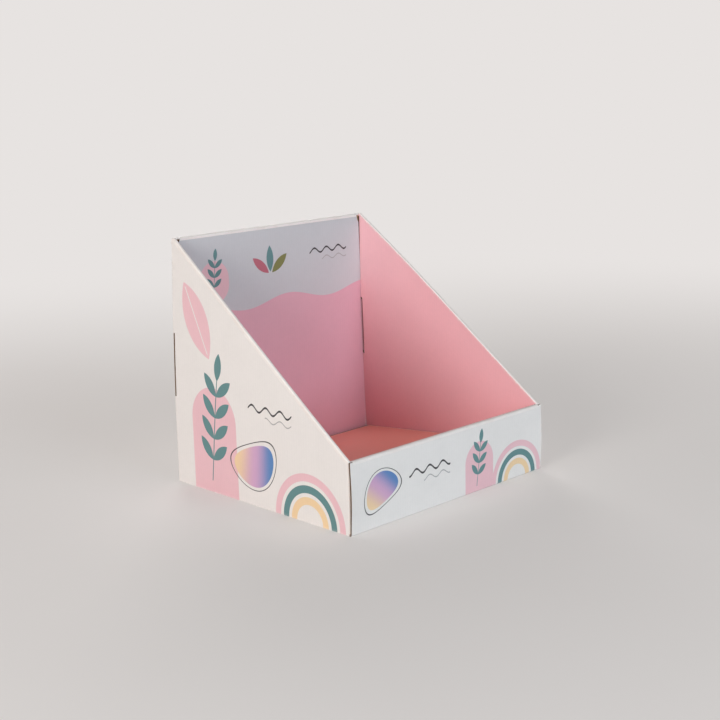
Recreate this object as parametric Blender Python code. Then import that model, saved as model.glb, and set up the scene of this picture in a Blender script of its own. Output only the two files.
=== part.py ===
"""Counter display box of folded corrugated board.

One printed sheet, cut and creased, folds into an open tray: double side walls
with sloping tops, a tall back whose lining rolls over the top edge and locks
into the rear corners with two ears, and a low front whose lining runs on as a
floor that slopes down to the back.  Every panel between two creases is a solid
of its own.

Metres, +Z up, front towards -Y, origin at the centre of the underside.
"""

import math

import bmesh
import bpy

# Driving dimensions
WIDTH = 0.275
DEPTH = 0.254
BACK_HEIGHT = 0.250
FRONT_HEIGHT = 0.0695
BOARD = 0.0016
PLY_GAP = 0.0004
CREASE_GAP = 0.0003
FOLD_CRUSH = 0.75
FOLD_RADIUS = 0.0009
FLAP_LENGTH = 0.060
LINER_SIDE_GAP = 0.0005
LINER_TOP_GAP = 0.0022
LINER_FOOT_GAP = 0.0014
LINER_TAPER_LENGTH = 0.055
EAR_HEIGHT = 0.061
EAR_MIDDLE = 0.1225
EAR_CHAMFER = 0.0010
SLOT_CLEARANCE = 0.0020
FLOOR_SIDE_GAP = 0.0006
FLOOR_REAR_GAP = 0.0036
FLOOR_RISE = 0.024

# Wall build-ups: two plies at the sides and back, three at the front,
# and the crushed board that is left where a fold is rolled over
DOUBLE_WALL = 2 * BOARD + PLY_GAP
TRIPLE_WALL = 3 * BOARD + 2 * PLY_GAP
FOLD_DEPTH = FOLD_CRUSH * BOARD
MITRE_GAP = CREASE_GAP / math.sqrt(2)

# Planes that the panels lie on
HALF_WIDTH = WIDTH / 2
HALF_DEPTH = DEPTH / 2
BETWEEN_SIDES = HALF_WIDTH - BOARD - CREASE_GAP
INSIDE_HALF_WIDTH = HALF_WIDTH - DOUBLE_WALL
FRONT_FACE = -HALF_DEPTH
BEHIND_FRONT = FRONT_FACE + BOARD + CREASE_GAP
FRONT_LINING_FACE = FRONT_FACE + TRIPLE_WALL
LINER_FACE = HALF_DEPTH - DOUBLE_WALL
BEFORE_BACK = HALF_DEPTH - BOARD - CREASE_GAP
ABOVE_BASE = BOARD + CREASE_GAP
FLOOR_TOP = ABOVE_BASE + BOARD

# Floor, from its rear edge on the base up to the crease of the front's lining
FLOOR_FRONT_END = FRONT_LINING_FACE + CREASE_GAP
FLOOR_REAR_END = LINER_FACE - FLOOR_REAR_GAP
FLOOR_RUN = FLOOR_REAR_END - FLOOR_FRONT_END
FLOOR_TILT = math.atan2(FLOOR_RISE, FLOOR_RUN)
FLOOR_LENGTH = math.hypot(FLOOR_RUN, FLOOR_RISE)
FLOOR_FRONT_TOP = FLOOR_TOP + FLOOR_RISE

# Sloping top of the side walls, from the front corner up to a short flat
SLOPE_FRONT = BEHIND_FRONT
SLOPE_REAR = LINER_FACE - CREASE_GAP
SLOPE_RISE = (BACK_HEIGHT - FRONT_HEIGHT) / (SLOPE_REAR - SLOPE_FRONT)
UPRIGHT_SHARE = math.sqrt(1 + SLOPE_RISE ** 2)
CAP_DROP = FOLD_DEPTH * UPRIGHT_SHARE
UNDER_CAP = (FOLD_DEPTH + CREASE_GAP) * UPRIGHT_SHARE
CAP_FRONT = FRONT_LINING_FACE + CREASE_GAP
CAP_REAR = SLOPE_REAR

# Slots at the rear corners that the lining's ears lock into
EAR_LOW = EAR_MIDDLE - EAR_HEIGHT / 2
EAR_HIGH = EAR_MIDDLE + EAR_HEIGHT / 2
SLOT_LOW = EAR_LOW - SLOT_CLEARANCE
SLOT_HIGH = EAR_HIGH + SLOT_CLEARANCE
SLOT_FRONT = LINER_FACE - CREASE_GAP

MERGE_DISTANCE = 0.00001
FOLD_SEGMENTS = 4

# How a flat outline is turned to lie across the box, along it or level
ACROSS = (math.pi / 2, 0.0, 0.0)
ALONG = (math.pi / 2, 0.0, math.pi / 2)
LEVEL = (0.0, 0.0, 0.0)

SIDES = (("left", -1), ("right", 1))

# Finishes of the board: linear colour and roughness
OUTSIDE_WHITE = ((0.78, 0.72, 0.70), 0.45)
INSIDE_PINK = ((0.72, 0.40, 0.43), 0.45)
FOLD_CREAM = ((0.84, 0.70, 0.66), 0.50)
BARE_BROWN = ((0.42, 0.30, 0.21), 0.85)


def clear_scene():
    """Remove every object, so that the script can be run again."""
    for item in list(bpy.data.objects):
        bpy.data.objects.remove(item, do_unlink=True)


def new_collection(name):
    """Make a collection in the scene."""
    collection = bpy.data.collections.new(name)
    bpy.context.scene.collection.children.link(collection)
    return collection


def board_material(name, finish):
    """Make a panel's own material, printed or bare."""
    colour, roughness = finish
    material = bpy.data.materials.new(name)
    material.use_nodes = True
    shader = material.node_tree.nodes["Principled BSDF"]
    shader.inputs["Base Color"].default_value = (*colour, 1.0)
    shader.inputs["Roughness"].default_value = roughness
    shader.inputs["Metallic"].default_value = 0.0
    return material


def outline_mesh(name, outline, thickness):
    """Give a flat outline its thickness, half of it to each side."""
    curve = bpy.data.curves.new(name, "CURVE")
    curve.dimensions = "2D"
    curve.fill_mode = "BOTH"
    curve.extrude = thickness / 2
    spline = curve.splines.new("POLY")
    spline.points.add(len(outline) - 1)
    for point, (across, up) in zip(spline.points, outline):
        point.co = (across, up, 0.0, 1.0)
    spline.use_cyclic_u = True
    flat = bpy.data.objects.new(name + "_outline", curve)
    bpy.context.scene.collection.objects.link(flat)
    depsgraph = bpy.context.evaluated_depsgraph_get()
    mesh = bpy.data.meshes.new_from_object(flat.evaluated_get(depsgraph))
    bpy.data.objects.remove(flat, do_unlink=True)
    bpy.data.curves.remove(curve)
    mesh.name = name
    shape = bmesh.new()
    shape.from_mesh(mesh)
    bmesh.ops.remove_doubles(shape, verts=shape.verts, dist=MERGE_DISTANCE)
    bmesh.ops.recalc_face_normals(shape, faces=shape.faces)
    shape.to_mesh(mesh)
    shape.free()
    return mesh


def panel(name, outline, turn, place, finish, thickness=BOARD):
    """Make one panel of the sheet as a named object."""
    mesh = outline_mesh(name, outline, thickness)
    piece = bpy.data.objects.new(name, mesh)
    piece.rotation_euler = turn
    piece.location = place
    piece.data.materials.append(board_material(name, finish))
    box.objects.link(piece)
    return piece


def mitre(piece, end, face):
    """Slant a panel's lower (-1) or upper (1) end, shortening one face of it."""
    corners = piece.data.vertices
    limit = max(end * corner.co.y for corner in corners)
    thickness = 2 * max(corner.co.z for corner in corners)
    for corner in corners:
        at_end = end * corner.co.y > limit - MERGE_DISTANCE
        if at_end and face * corner.co.z > 0:
            corner.co.y -= end * thickness


def round_top(piece, height_at):
    """Round the two long upper edges of a rolled-over fold."""
    shape = bmesh.new()
    shape.from_mesh(piece.data)
    rolled = []
    for edge in shape.edges:
        start, end = (corner.co for corner in edge.verts)
        on_top = all(abs(point.y - height_at(point.x)) < MERGE_DISTANCE for point in (start, end))
        if on_top and abs(start.z - end.z) < MERGE_DISTANCE:
            rolled.append(edge)
    radius = min(FOLD_RADIUS, FOLD_DEPTH, DOUBLE_WALL / 2 - MERGE_DISTANCE)
    bmesh.ops.bevel(
        shape, geom=rolled, offset=radius, segments=FOLD_SEGMENTS, profile=0.5, affect="EDGES"
    )
    shape.to_mesh(piece.data)
    shape.free()


def rectangle(left, right, low, high):
    """Outline of a plain rectangular panel."""
    return [(left, low), (right, low), (right, high), (left, high)]


def crease(name, place, pieces, parent=None):
    """Put an empty on a crease and hang the pieces that turn about it."""
    line = bpy.data.objects.new(name, None)
    line.location = place
    guides.objects.link(line)
    bpy.context.view_layer.update()
    for piece, holder in [(line, parent)] + [(piece, line) for piece in pieces]:
        if holder:
            piece.parent = holder
            piece.matrix_parent_inverse = holder.matrix_world.inverted()
    bpy.context.view_layer.update()
    return line


def slope_height(y):
    """Height of the side walls' sloping top at a depth."""
    return FRONT_HEIGHT + (y - SLOPE_FRONT) * SLOPE_RISE


clear_scene()
box = new_collection("cardboard_display_box")
guides = new_collection("crease_lines")


# Back and base, the middle of the sheet
back_right_edge = [
    (BETWEEN_SIDES, 0.0),
    (BETWEEN_SIDES, EAR_LOW),
    (HALF_WIDTH, EAR_LOW),
    (HALF_WIDTH, EAR_HIGH),
    (BETWEEN_SIDES, EAR_HIGH),
    (BETWEEN_SIDES, BACK_HEIGHT - MITRE_GAP),
]
back_left_edge = [(-across, up) for across, up in reversed(back_right_edge)]
back_panel = panel(
    "back_panel",
    back_right_edge + back_left_edge,
    ACROSS,
    (0.0, HALF_DEPTH - BOARD / 2, 0.0),
    OUTSIDE_WHITE,
)
mitre(back_panel, 1, 1)

base_panel = panel(
    "base_panel",
    rectangle(-BETWEEN_SIDES, BETWEEN_SIDES, BEHIND_FRONT, BEFORE_BACK),
    LEVEL,
    (0.0, 0.0, BOARD / 2),
    OUTSIDE_WHITE,
)


# Side walls: an outer panel, the rolled slope, an inner panel and a front flap
outer_side = [
    (BEHIND_FRONT, 0.0),
    (HALF_DEPTH, 0.0),
    (HALF_DEPTH, SLOT_LOW),
    (SLOT_FRONT, SLOT_LOW),
    (SLOT_FRONT, SLOT_HIGH),
    (HALF_DEPTH, SLOT_HIGH),
    (HALF_DEPTH, BACK_HEIGHT),
    (CAP_REAR + CREASE_GAP, BACK_HEIGHT),
    (CAP_REAR + CREASE_GAP, slope_height(CAP_REAR + CREASE_GAP) - UNDER_CAP),
    (CAP_FRONT - CREASE_GAP, slope_height(CAP_FRONT - CREASE_GAP) - UNDER_CAP),
    (CAP_FRONT - CREASE_GAP, slope_height(CAP_FRONT - CREASE_GAP)),
    (BEHIND_FRONT, FRONT_HEIGHT),
]
rolled_slope = [
    (CAP_FRONT, slope_height(CAP_FRONT) - CAP_DROP),
    (CAP_REAR, slope_height(CAP_REAR) - CAP_DROP),
    (CAP_REAR, slope_height(CAP_REAR)),
    (CAP_FRONT, slope_height(CAP_FRONT)),
]
inner_side = [
    (CAP_FRONT, ABOVE_BASE),
    (BEFORE_BACK, ABOVE_BASE),
    (BEFORE_BACK, SLOT_LOW),
    (SLOT_FRONT, SLOT_LOW),
    (SLOT_FRONT, SLOT_HIGH),
    (BEFORE_BACK, SLOT_HIGH),
    (BEFORE_BACK, slope_height(CAP_REAR) - UNDER_CAP),
    (CAP_REAR, slope_height(CAP_REAR) - UNDER_CAP),
    (CAP_FRONT, slope_height(CAP_FRONT) - UNDER_CAP),
]
for side_name, side in SIDES:
    panel(
        side_name + "_side_panel",
        outer_side,
        ALONG,
        (side * (HALF_WIDTH - BOARD / 2), 0.0, 0.0),
        OUTSIDE_WHITE,
    )
    slope_fold = panel(
        side_name + "_slope_fold",
        rolled_slope,
        ALONG,
        (side * (HALF_WIDTH - DOUBLE_WALL / 2), 0.0, 0.0),
        FOLD_CREAM,
        DOUBLE_WALL,
    )
    round_top(slope_fold, slope_height)
    panel(
        side_name + "_inner_panel",
        inner_side,
        ALONG,
        (side * (INSIDE_HALF_WIDTH + BOARD / 2), 0.0, 0.0),
        INSIDE_PINK,
    )
    flap_ends = sorted((side * BETWEEN_SIDES, side * (BETWEEN_SIDES - FLAP_LENGTH)))
    panel(
        side_name + "_front_flap",
        rectangle(*flap_ends, ABOVE_BASE, FRONT_HEIGHT - FOLD_DEPTH - CREASE_GAP),
        ACROSS,
        (0.0, FRONT_FACE + BOARD + PLY_GAP + BOARD / 2, 0.0),
        BARE_BROWN,
    )


# Front: an outer panel with raw ends, its rolled top, a lining and the floor
front_panel = panel(
    "front_panel",
    rectangle(-HALF_WIDTH, HALF_WIDTH, 0.0, FRONT_HEIGHT - MITRE_GAP),
    ACROSS,
    (0.0, FRONT_FACE + BOARD / 2, 0.0),
    OUTSIDE_WHITE,
)
mitre(front_panel, 1, -1)

front_top_fold = panel(
    "front_top_fold",
    rectangle(-BETWEEN_SIDES, BETWEEN_SIDES, FRONT_FACE + MITRE_GAP, FRONT_LINING_FACE - MITRE_GAP),
    LEVEL,
    (0.0, 0.0, FRONT_HEIGHT - FOLD_DEPTH / 2),
    FOLD_CREAM,
    FOLD_DEPTH,
)
mitre(front_top_fold, -1, -1)
mitre(front_top_fold, 1, -1)

lining_edge = INSIDE_HALF_WIDTH - FLOOR_SIDE_GAP
front_inner_panel = panel(
    "front_inner_panel",
    rectangle(-lining_edge, lining_edge, ABOVE_BASE + FLOOR_RISE, FRONT_HEIGHT - MITRE_GAP),
    ACROSS,
    (0.0, FRONT_LINING_FACE - BOARD / 2, 0.0),
    INSIDE_PINK,
)
mitre(front_inner_panel, 1, 1)

floor_middle = (FLOOR_FRONT_END + FLOOR_REAR_END) / 2
floor_level = ABOVE_BASE + (FLOOR_RISE + BOARD * math.cos(FLOOR_TILT)) / 2
floor_panel = panel(
    "floor_panel",
    rectangle(-lining_edge, lining_edge, -FLOOR_LENGTH / 2, FLOOR_LENGTH / 2),
    (-FLOOR_TILT, 0.0, 0.0),
    (0.0, floor_middle, floor_level),
    INSIDE_PINK,
)


# Back lining: rolled top, a tapered lining and the two ears that lock it
back_top_fold = panel(
    "back_top_fold",
    rectangle(-BETWEEN_SIDES, BETWEEN_SIDES, LINER_FACE + MITRE_GAP, HALF_DEPTH - MITRE_GAP),
    LEVEL,
    (0.0, 0.0, BACK_HEIGHT - FOLD_DEPTH / 2),
    FOLD_CREAM,
    FOLD_DEPTH,
)
mitre(back_top_fold, -1, -1)
mitre(back_top_fold, 1, -1)

liner_edge = INSIDE_HALF_WIDTH - LINER_SIDE_GAP
liner_top_edge = INSIDE_HALF_WIDTH - LINER_TOP_GAP
liner_bottom = FLOOR_TOP + LINER_FOOT_GAP
back_liner = panel(
    "back_liner",
    [
        (-liner_edge, liner_bottom),
        (liner_edge, liner_bottom),
        (liner_edge, BACK_HEIGHT - LINER_TAPER_LENGTH),
        (liner_top_edge, BACK_HEIGHT - MITRE_GAP),
        (-liner_top_edge, BACK_HEIGHT - MITRE_GAP),
        (-liner_edge, BACK_HEIGHT - LINER_TAPER_LENGTH),
    ],
    ACROSS,
    (0.0, LINER_FACE + BOARD / 2, 0.0),
    INSIDE_PINK,
)
mitre(back_liner, 1, -1)

lock_ears = []
for side_name, side in SIDES:
    ear_root = side * (liner_edge + CREASE_GAP)
    ear_tip = side * HALF_WIDTH
    ear_shoulder = side * (HALF_WIDTH - EAR_CHAMFER)
    lock_ears.append(
        panel(
            side_name + "_lock_ear",
            [
                (ear_root, EAR_LOW),
                (ear_shoulder, EAR_LOW),
                (ear_tip, EAR_LOW + EAR_CHAMFER),
                (ear_tip, EAR_HIGH - EAR_CHAMFER),
                (ear_shoulder, EAR_HIGH),
                (ear_root, EAR_HIGH),
            ],
            ACROSS,
            (0.0, LINER_FACE + BOARD / 2, 0.0),
            BARE_BROWN,
        )
    )


# Creases that open: the back lining over the top, the floor strip over the front
back_crease = crease("back_crease", (0.0, HALF_DEPTH, BACK_HEIGHT), [back_top_fold])
crease("liner_crease", (0.0, LINER_FACE, BACK_HEIGHT), [back_liner, *lock_ears], back_crease)
front_crease = crease("front_crease", (0.0, FRONT_LINING_FACE, FRONT_HEIGHT), [front_inner_panel])
crease("floor_crease", (0.0, FRONT_LINING_FACE, FLOOR_FRONT_TOP), [floor_panel], front_crease)
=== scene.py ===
"""Looks of a folded cardboard display box: printed corrugated board, its creases and its cut edges."""

import math

import bmesh
import bpy
from mathutils import Matrix, Vector


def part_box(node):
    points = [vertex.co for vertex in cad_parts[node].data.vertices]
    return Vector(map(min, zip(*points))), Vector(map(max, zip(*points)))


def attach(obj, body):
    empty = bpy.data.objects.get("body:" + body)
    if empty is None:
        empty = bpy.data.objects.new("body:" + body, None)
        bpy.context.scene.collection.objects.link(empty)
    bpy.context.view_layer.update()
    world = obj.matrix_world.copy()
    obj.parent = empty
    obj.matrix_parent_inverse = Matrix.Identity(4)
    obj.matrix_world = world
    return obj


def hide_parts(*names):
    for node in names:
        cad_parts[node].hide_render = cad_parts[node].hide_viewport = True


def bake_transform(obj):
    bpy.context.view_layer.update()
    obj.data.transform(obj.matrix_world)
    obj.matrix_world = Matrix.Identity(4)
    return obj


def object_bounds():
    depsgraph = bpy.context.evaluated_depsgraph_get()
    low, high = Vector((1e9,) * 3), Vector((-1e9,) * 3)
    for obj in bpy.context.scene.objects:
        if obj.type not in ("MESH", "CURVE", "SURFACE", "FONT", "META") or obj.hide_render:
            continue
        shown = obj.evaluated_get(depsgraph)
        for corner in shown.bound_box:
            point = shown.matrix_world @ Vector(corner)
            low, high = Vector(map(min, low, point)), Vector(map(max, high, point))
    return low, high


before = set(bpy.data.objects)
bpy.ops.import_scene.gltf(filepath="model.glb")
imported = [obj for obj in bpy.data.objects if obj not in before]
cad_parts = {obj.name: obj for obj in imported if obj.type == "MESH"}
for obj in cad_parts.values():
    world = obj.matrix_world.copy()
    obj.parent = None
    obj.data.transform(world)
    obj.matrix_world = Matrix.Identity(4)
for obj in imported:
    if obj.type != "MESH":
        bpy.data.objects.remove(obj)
cad_low, cad_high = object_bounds()

# Base panel: the sheet's middle, which stands on the counter with its printed side down.
# It is E-flute board: two paper liners with fluted paper glued between them. The die cuts
# it free at its sides, and it is creased where the front and the back turn up.
base_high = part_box("base_panel")[1]
HALF_WIDTH = cad_high.x
FRONT_FACE = cad_low.y
BACK_FACE = cad_high.y
TALL = cad_high.z
BOARD = base_high.z
LINER_SHARE = 0.16
FLUTE_PITCH = 0.0033
CUT_DEPTH = 0.0030
SAME_WAY = 0.5
BASE_TRIM = 0.0002
BASE_HALF_WIDTH = base_high.x - BASE_TRIM
CREASE_REACH = 0.0036
TURN_STEPS = 8
SHARP_EDGE = math.radians(35)
TOUCH = 1e-5
cut_runs = {}


class Socket:
    """A node's output that takes part in sums, so that a finish reads as plain expressions."""

    def __init__(self, tree, socket):
        self.tree = tree
        self.socket = socket

    def node(self, kind, settings, inputs, output=0):
        made = self.tree.nodes.new(kind)
        for name, value in settings.items():
            setattr(made, name, value)
        for key, value in inputs.items():
            if isinstance(value, Socket):
                self.tree.links.new(value.socket, made.inputs[key])
            else:
                made.inputs[key].default_value = value
        return Socket(self.tree, made.outputs[output])

    def maths(self, operation, *others):
        return self.node("ShaderNodeMath", {"operation": operation}, dict(enumerate((self,) + others)))

    def __add__(self, other):
        return self.maths("ADD", other)

    __radd__ = __add__

    def __mul__(self, other):
        return self.maths("MULTIPLY", other)

    __rmul__ = __mul__

    def __sub__(self, other):
        return self.maths("SUBTRACT", other)

    def __rsub__(self, other):
        return self.node("ShaderNodeMath", {"operation": "SUBTRACT"}, {0: other, 1: self})

    def __truediv__(self, other):
        return self.maths("DIVIDE", other)

    def __abs__(self):
        return self.maths("ABSOLUTE")

    def least(self, other):
        return self.maths("MINIMUM", other)

    def most(self, other):
        return self.maths("MAXIMUM", other)

    def sine(self):
        return self.maths("SINE")

    def root(self):
        return self.maths("SQRT")

    def rise(self, start, end):
        """0 before start and 1 after end, with a smooth step between them."""
        settings = {"interpolation_type": "SMOOTHSTEP"}
        return self.node("ShaderNodeMapRange", settings, {0: self, 1: start, 2: end})

    def tint(self, below, above):
        """Colour that goes from below to above as this value goes from 0 to 1."""
        settings = {"data_type": "RGBA"}
        return self.node("ShaderNodeMix", settings, {0: self, 6: below, 7: above}, output=2)

    def scaled(self, vector):
        """A vector or colour times this value."""
        return self.node("ShaderNodeVectorMath", {"operation": "SCALE"}, {0: vector, 3: self})

    def noise(self, scale, detail):
        """Cloudy value about 0.5 over this position."""
        return self.node("ShaderNodeTexNoise", {}, {"Vector": self, "Scale": scale, "Detail": detail})


def srgb(red, green, blue):
    """A colour as a screen gives it, from 0 to 255, as the linear colour that a shader takes."""
    share = [c / 255 for c in (red, green, blue)]
    return tuple(c / 12.92 if c < 0.04045 else ((c + 0.055) / 1.055) ** 2.4 for c in share) + (1.0,)


def start_finish(name):
    """A new material with its shader, the place on the piece, and that place's x, y and z."""
    material = bpy.data.materials.new(name)
    material.use_nodes = True
    tree = material.node_tree
    place = Socket(tree, tree.nodes.new("ShaderNodeTexCoord").outputs["Object"])
    apart = place.node("ShaderNodeSeparateXYZ", {}, {0: place}).socket.node
    parts = [Socket(tree, output) for output in apart.outputs]
    return material, tree.nodes["Principled BSDF"], place, parts


def end_finish(shader, place, colour, roughness, height, depth):
    """Feeds a finish's colour, roughness and surface height to its shader."""
    bump = place.node("ShaderNodeBump", {}, {"Strength": 1.0, "Distance": depth, "Height": height})
    for key, value in (("Base Color", colour), ("Roughness", roughness), ("Normal", bump)):
        place.tree.links.new(value.socket, shader.inputs[key])


# How much each feature of a coated liner counts in its shade, wear, roughness and height.
INK_UNEVEN = 0.05
RIB_SHADE = 0.006
STRETCH_REACH = (0.0006, 0.0048)
STRETCH_PALE = 0.16
STRETCH_FLECKS = 0.16
FLECK_RANGE = (0.66, 0.74)
FLECK_PALE = 0.5
CREASE_AT = 0.0056
CREASE_HALF = 0.0007
SATIN_ROUGH = 0.44
CLOUD_ROUGH = 0.20
MOTTLE_ROUGH = 0.14
STRETCH_ROUGH = 0.14
RIB_HEIGHT = 0.26
FIBRE_HEIGHT = 0.4
MOTTLE_HEIGHT = 0.8
CREASE_DEPTH = 1.4
FLECK_DEPTH = 0.8
COATED_RELIEF = 0.00004
COATED_GLOSS = 0.45


def coated_paper(name, ink, edge, flutes_across):
    """Coated liner under satin varnish. ink(x, y, z) is its print and edge(x, y, z) how far the next fold
    or cut is, where the coating is stretched, rubbed and pressed by the crease."""
    material, shader, place, parts = start_finish(name)
    cloud = place.noise(scale=38.0, detail=4.0)
    mottle = place.noise(scale=240.0, detail=3.0)
    fibre = place.noise(scale=1500.0, detail=2.0)
    rub = place.noise(scale=430.0, detail=4.0)
    reach = edge(*parts)
    ribs = (parts[flutes_across] * (2 * math.pi / FLUTE_PITCH)).sine()
    uneven = (cloud - 0.5) * INK_UNEVEN + (mottle - 0.5) * INK_UNEVEN + (fibre - 0.5) * INK_UNEVEN
    shade = uneven + ribs * RIB_SHADE + 1.0
    stretched = 1.0 - reach.rise(*STRETCH_REACH)
    flecks = (rub + stretched * STRETCH_FLECKS).rise(*FLECK_RANGE) * stretched
    worn = stretched * STRETCH_PALE + flecks * FLECK_PALE
    colour = worn.tint(shade.scaled(ink(*parts)), worn_paper)
    clouded = (cloud - 0.5) * CLOUD_ROUGH + (mottle - 0.5) * MOTTLE_ROUGH
    roughness = clouded + stretched * STRETCH_ROUGH + SATIN_ROUGH
    pressed = 1.0 - (abs(reach - CREASE_AT) / CREASE_HALF).least(1.0)
    raised = ribs * RIB_HEIGHT + fibre * FIBRE_HEIGHT + mottle * MOTTLE_HEIGHT
    height = raised - pressed * CREASE_DEPTH - flecks * FLECK_DEPTH
    end_finish(shader, place, colour, roughness, height, COATED_RELIEF)
    shader.inputs["Specular IOR Level"].default_value = COATED_GLOSS
    return material


# The same for bare paper, whose fibres are drawn out along the height.
FIBRE_DRAWN = (1.0, 1.0, 0.25)
BARE_FIBRE = 1.6
BARE_CLOUD = 0.8
BARE_FLECK = 0.5
BARE_ROUGH = 0.84
BARE_ROUGH_VARIES = 0.2
BARE_RELIEF = 0.00006
BARE_GLOSS = 0.25


def bare_paper(name, light, dark):
    """Unprinted brown paper, matt, with long fibres and darker flecks."""
    material, shader, place, _ = start_finish(name)
    drawn_out = place.node("ShaderNodeMapping", {}, {"Vector": place, "Scale": FIBRE_DRAWN})
    fibre = drawn_out.noise(scale=900.0, detail=4.0)
    cloud = place.noise(scale=70.0, detail=3.0)
    fleck = place.noise(scale=520.0, detail=1.0).rise(*FLECK_RANGE)
    colour = ((fibre - 0.5) * BARE_FIBRE + (cloud - 0.5) * BARE_CLOUD + 0.5).tint(dark, light)
    colour = (fleck * BARE_FLECK).tint(colour, dark)
    roughness = (fibre - 0.5) * BARE_ROUGH_VARIES + BARE_ROUGH
    end_finish(shader, place, colour, roughness, fibre + cloud, BARE_RELIEF)
    shader.inputs["Specular IOR Level"].default_value = BARE_GLOSS
    return material


white_paper = srgb(240, 235, 232)
worn_paper = srgb(246, 236, 230)
INK_LIFT = 1.03
INK_DRIFT = (31.0, 27.0, 23.0)
FOOT_SLANT = 0.5


def plain_ink(colour):
    """Print of one colour all over, a touch uneven as solid ink on paper is."""
    def ink(x, y, z):
        light = tuple(min(1.0, c * INK_LIFT) for c in colour[:3]) + (1.0,)
        drift = x * INK_DRIFT[0] + z * INK_DRIFT[2] - y * INK_DRIFT[1]
        return drift.sine().rise(-1.0, 1.0).tint(colour, light)
    return ink


def outside_edge(x, y, z):
    """How far the outer corners, the foot and the top of the box are."""
    return (HALF_WIDTH - abs(x)).least(BACK_FACE - abs(y) + z * FOOT_SLANT).least(TALL - z)


plain_outside = coated_paper("plain white liner", plain_ink(white_paper), outside_edge, 0)
kraft_back = bare_paper("kraft liner", srgb(196, 160, 124), srgb(158, 121, 88))
cut_edge = bare_paper("cut board edge", srgb(168, 140, 116), srgb(112, 88, 70))


def bent_line(corners, radius, step):
    """Points along the face of a bent sheet: straight runs, with every corner turned on the radius."""
    corners = [Vector(c) for c in corners]
    points = [corners[0]]
    for before, corner, after in zip(corners, corners[1:], corners[2:]):
        way_in = (corner - before).normalized()
        way_out = (after - corner).normalized()
        turn = -way_in.angle_signed(way_out)
        if abs(turn) < TOUCH:
            points.append(corner)
            continue
        start = corner - way_in * radius * math.tan(abs(turn) / 2)
        side = Vector((-way_in.y, way_in.x)) * math.copysign(radius, turn)
        turns = [Matrix.Rotation(turn * k / TURN_STEPS, 2) for k in range(TURN_STEPS + 1)]
        points += [start + side + turned_by @ -side for turned_by in turns]
    points.append(corners[-1])
    fine = [points[0]]
    for a, b in zip(points, points[1:]):
        parts = max(1, math.ceil((b - a).length / step))
        fine += [a.lerp(b, k / parts) for k in range(1, parts + 1)]
    return fine


def across_line(line):
    """Unit directions that point out of the printed face at each point of a line."""
    ways = [(b - a).normalized() for a, b in zip(line, line[1:])]
    ways = [(a + b).normalized() for a, b in zip(ways[:1] + ways, ways + ways[-1:])]
    return [Vector((way.y, -way.x)) for way in ways]


def spread(start, end, step, marks=()):
    """Even places from start to end, no further apart than step, that also take in the marks."""
    stops = sorted({start, end, *marks})
    places = [start]
    for a, b in zip(stops, stops[1:]):
        parts = max(1, math.ceil((b - a) / step))
        places += [a + (b - a) * k / parts for k in range(1, parts + 1)]
    return places


def piece(name, shape, finishes, body, nodes):
    """Makes a mesh the piece that stands for those CAD nodes on that body."""
    bmesh.ops.recalc_face_normals(shape, faces=shape.faces)
    mesh = bpy.data.meshes.new(name)
    shape.to_mesh(mesh)
    shape.free()
    mesh.shade_smooth()
    mesh.set_sharp_from_angle(angle=SHARP_EDGE)
    for finish in finishes:
        mesh.materials.append(finish)
    made = bpy.data.objects.new(name, mesh)
    bpy.context.scene.collection.objects.link(made)
    if body:
        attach(made, body)
    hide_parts(*nodes)
    return made


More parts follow.
